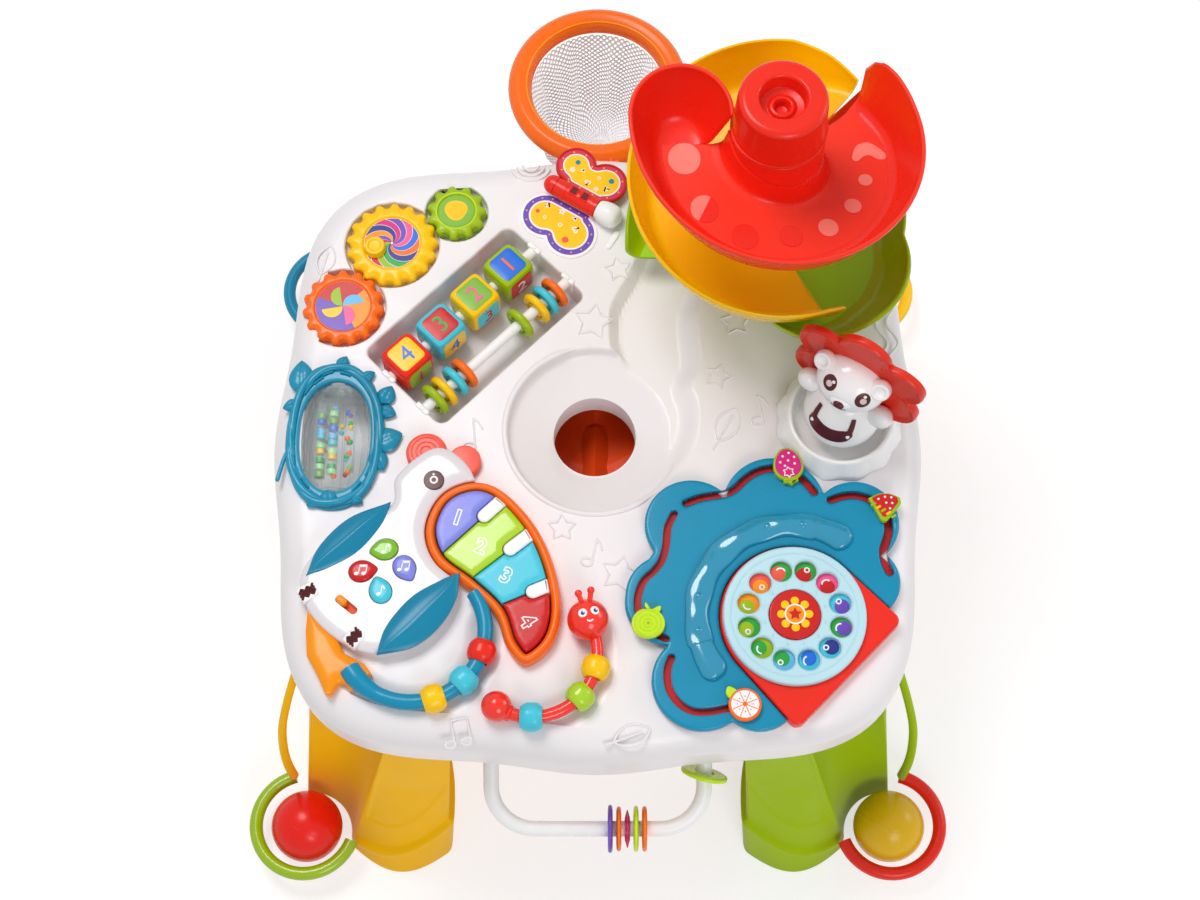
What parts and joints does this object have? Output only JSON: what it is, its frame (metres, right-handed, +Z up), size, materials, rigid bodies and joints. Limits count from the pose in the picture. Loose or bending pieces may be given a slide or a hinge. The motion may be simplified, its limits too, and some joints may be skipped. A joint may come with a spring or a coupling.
{
  "type": "musical activity table",
  "caption": "Four-legged toddler activity table: spiral ball run, drop bowl, net hoop, gears, turning blocks, rain drum, keys, finger dial and bead arcs on a rounded tray.",
  "frame": {"origin": "on the floor, midway between the table's furthest points in X and in Y", "axes": "+Z up; -Y is the side with the handle, where the child stands; +X is to that child's right"},
  "size_m": [0.4934, 0.5942, 0.445],
  "materials": {
    "tray_white": "satin moulded",
    "white": "glossy",
    "leg_yellow": "glossy",
    "lime": "glossy",
    "red": "glossy",
    "yellow": "glossy",
    "orange": "glossy",
    "teal": "glossy",
    "cyan": "glossy",
    "purple": "glossy",
    "violet": "glossy",
    "magenta": "glossy",
    "blue": "glossy",
    "light_blue": "satin",
    "clear": "clear",
    "net": "knitted mesh",
    "grey": "matt",
    "board": "matt",
    "steel": "plated"
  },
  "bodies": {
    "table": {"tray_shell": "tray_white", "tray_base": "tray_white", "battery_door": "tray_white", "batteries": "grey", "sound_unit": "board", "screws": "steel", "leg_front_left": "leg_yellow", "leg_front_right": "lime", "leg_rear_left": "red", "leg_rear_right": "orange", "foot_loops": "teal", "ball_diverter": "red", "tower_green": "lime", "tower_yellow": "yellow", "tower_red": "red", "hoop_ring": "orange", "hoop_net": "net", "pocket_rods": "white", "drum_frame": "teal", "bird_housing": "white", "bird_trim": "teal", "key_frame": "orange", "bead_rails": "teal", "flower_panel": "teal", "phone_base": "red", "bear_cup": "white", "butterfly_body": "red", "handle_bar": "white"},
    "ball_red": {"ball_red": "red"},
    "ball_yellow": {"ball_yellow": "yellow"},
    "gear_yellow": {"gear_yellow": "yellow"},
    "gear_orange": {"gear_orange": "orange"},
    "gear_green": {"gear_green": "lime"},
    "block_1": {"block_1": "red"},
    "block_2": {"block_2": "cyan"},
    "block_3": {"block_3": "yellow"},
    "block_4": {"block_4": "lime"},
    "rings_low": {"rings_low": "yellow"},
    "rings_high": {"rings_high": "cyan"},
    "rain_drum": {"rain_drum": "clear"},
    "key_1": {"key_1": "violet"},
    "key_2": {"key_2": "lime"},
    "key_3": {"key_3": "cyan"},
    "key_4": {"key_4": "red"},
    "button_green": {"button_green": "lime"},
    "button_red": {"button_red": "red"},
    "button_blue": {"button_blue": "blue"},
    "button_cyan": {"button_cyan": "cyan"},
    "switch_knob": {"switch_knob": "orange"},
    "arc_beads": {"arc_beads": "yellow"},
    "worm_beads": {"worm_beads": "lime"},
    "dial": {"dial": "light_blue"},
    "fruit_strawberry": {"fruit_strawberry": "magenta"},
    "fruit_melon": {"fruit_melon": "red"},
    "fruit_apple": {"fruit_apple": "lime"},
    "fruit_orange": {"fruit_orange": "orange"},
    "bear": {"bear": "white"},
    "wing_flap": {"wing_flap": "red"},
    "handle_discs": {"handle_discs": "purple"},
    "handle_disc_loose": {"handle_disc_loose": "lime"}
  },
  "joints": [
    {"name": "ball_red_lift", "type": "slide", "parent": "table", "child": "ball_red", "axis": [0, 0, 1], "range_m": [0, 0.06]},
    {"name": "ball_yellow_lift", "type": "slide", "parent": "table", "child": "ball_yellow", "axis": [0, 0, 1], "range_m": [0, 0.06]},
    {"name": "gear_yellow_spin", "type": "hinge", "parent": "table", "child": "gear_yellow", "pos_m": [-0.1384, 0.09673, 0.24], "axis": [0, 0, 1], "continuous": true},
    {"name": "gear_orange_spin", "type": "hinge", "parent": "table", "child": "gear_orange", "pos_m": [-0.16914, 0.04992, 0.24], "axis": [0, 0, 1], "continuous": true},
    {"name": "gear_green_spin", "type": "hinge", "parent": "table", "child": "gear_green", "pos_m": [-0.09567, 0.12071, 0.24], "axis": [0, 0, 1], "continuous": true},
    {"name": "block_1_turn", "type": "hinge", "parent": "table", "child": "block_1", "pos_m": [-0.12516, 0.01157, 0.237], "axis": [0.7071, 0.7071, 0], "continuous": true},
    {"name": "block_2_turn", "type": "hinge", "parent": "table", "child": "block_2", "pos_m": [-0.10338, 0.03335, 0.237], "axis": [0.7071, 0.7071, 0], "continuous": true},
    {"name": "block_3_turn", "type": "hinge", "parent": "table", "child": "block_3", "pos_m": [-0.0816, 0.05513, 0.237], "axis": [0.7071, 0.7071, 0], "continuous": true},
    {"name": "block_4_turn", "type": "hinge", "parent": "table", "child": "block_4", "pos_m": [-0.05982, 0.07691, 0.237], "axis": [0.7071, 0.7071, 0], "continuous": true},
    {"name": "rings_low_slide", "type": "slide", "parent": "table", "child": "rings_low", "axis": [0.7071, 0.7071, 0], "range_m": [-0.007, 0.02]},
    {"name": "rings_high_slide", "type": "slide", "parent": "table", "child": "rings_high", "axis": [0.7071, 0.7071, 0], "range_m": [-0.02, 0.008]},
    {"name": "drum_spin", "type": "hinge", "parent": "table", "child": "rain_drum", "pos_m": [-0.17, -0.04288, 0.226], "axis": [0, 1, 0], "continuous": true},
    {"name": "key_1_press", "type": "slide", "parent": "table", "child": "key_1", "axis": [0, 0, -1], "range_m": [0, 0.002], "stiffness_N_per_m": 600, "springref_m": -0.002},
    {"name": "key_2_press", "type": "slide", "parent": "table", "child": "key_2", "axis": [0, 0, -1], "range_m": [0, 0.002], "stiffness_N_per_m": 600, "springref_m": -0.002},
    {"name": "key_3_press", "type": "slide", "parent": "table", "child": "key_3", "axis": [0, 0, -1], "range_m": [0, 0.002], "stiffness_N_per_m": 600, "springref_m": -0.002},
    {"name": "key_4_press", "type": "slide", "parent": "table", "child": "key_4", "axis": [0, 0, -1], "range_m": [0, 0.002], "stiffness_N_per_m": 600, "springref_m": -0.002},
    {"name": "button_green_press", "type": "slide", "parent": "table", "child": "button_green", "axis": [0, 0, -1], "range_m": [0, 0.0016], "stiffness_N_per_m": 400, "springref_m": -0.0015},
    {"name": "button_red_press", "type": "slide", "parent": "table", "child": "button_red", "axis": [0, 0, -1], "range_m": [0, 0.0016], "stiffness_N_per_m": 400, "springref_m": -0.0015},
    {"name": "button_blue_press", "type": "slide", "parent": "table", "child": "button_blue", "axis": [0, 0, -1], "range_m": [0, 0.0016], "stiffness_N_per_m": 400, "springref_m": -0.0015},
    {"name": "button_cyan_press", "type": "slide", "parent": "table", "child": "button_cyan", "axis": [0, 0, -1], "range_m": [0, 0.0016], "stiffness_N_per_m": 400, "springref_m": -0.0015},
    {"name": "switch_slide", "type": "slide", "parent": "table", "child": "switch_knob", "axis": [0.7771, -0.6293, 0], "range_m": [0, 0.008]},
    {"name": "arc_beads_slide", "type": "hinge", "parent": "table", "child": "arc_beads", "pos_m": [-0.1147, -0.17558, 0.247], "axis": [0, 0, 1], "range_deg": [-48, 4]},
    {"name": "worm_beads_slide", "type": "hinge", "parent": "table", "child": "worm_beads", "pos_m": [-0.0401, -0.18998, 0.2475], "axis": [0, 0, 1], "range_deg": [-7, 12]},
    {"name": "dial_spin", "type": "hinge", "parent": "table", "child": "dial", "pos_m": [0.1223, -0.16648, 0.25], "axis": [0, 0, 1], "continuous": true},
    {"name": "strawberry_slide", "type": "hinge", "parent": "table", "child": "fruit_strawberry", "pos_m": [0.1124, -0.09227, 0.248], "axis": [0, 0, 1], "range_deg": [-40, 78]},
    {"name": "melon_slide", "type": "hinge", "parent": "table", "child": "fruit_melon", "pos_m": [0.164, -0.10487, 0.248], "axis": [0, 0, 1], "range_deg": [-52, 83]},
    {"name": "apple_slide", "type": "hinge", "parent": "table", "child": "fruit_apple", "pos_m": [0.046, -0.15598, 0.248], "axis": [0, 0, 1], "range_deg": [-96, 34]},
    {"name": "orange_slide", "type": "slide", "parent": "table", "child": "fruit_orange", "axis": [-0.9906, -0.1369, 0], "range_m": [0, 0.0215]},
    {"name": "bear_press", "type": "slide", "parent": "table", "child": "bear", "axis": [0, 0, -1], "range_m": [0, 0.006], "stiffness_N_per_m": 600, "springref_m": -0.008},
    {"name": "wing_hinge", "type": "hinge", "parent": "table", "child": "wing_flap", "pos_m": [-0.014, 0.12862, 0.247], "axis": [0.8517, -0.524, 0], "range_deg": [0, 150]},
    {"name": "handle_discs_slide", "type": "slide", "parent": "table", "child": "handle_discs", "axis": [1, 0, 0], "range_m": [-0.055, 0.018]},
    {"name": "loose_disc_slide", "type": "slide", "parent": "table", "child": "handle_disc_loose", "axis": [0, -0.891, -0.454], "range_m": [-0.003, 0.016]}
  ],
  "couplings": [
    {"joint": "gear_orange_spin", "follows": "gear_yellow_spin", "ratio": -1.1333},
    {"joint": "gear_green_spin", "follows": "gear_yellow_spin", "ratio": -1.5455}
  ]
}
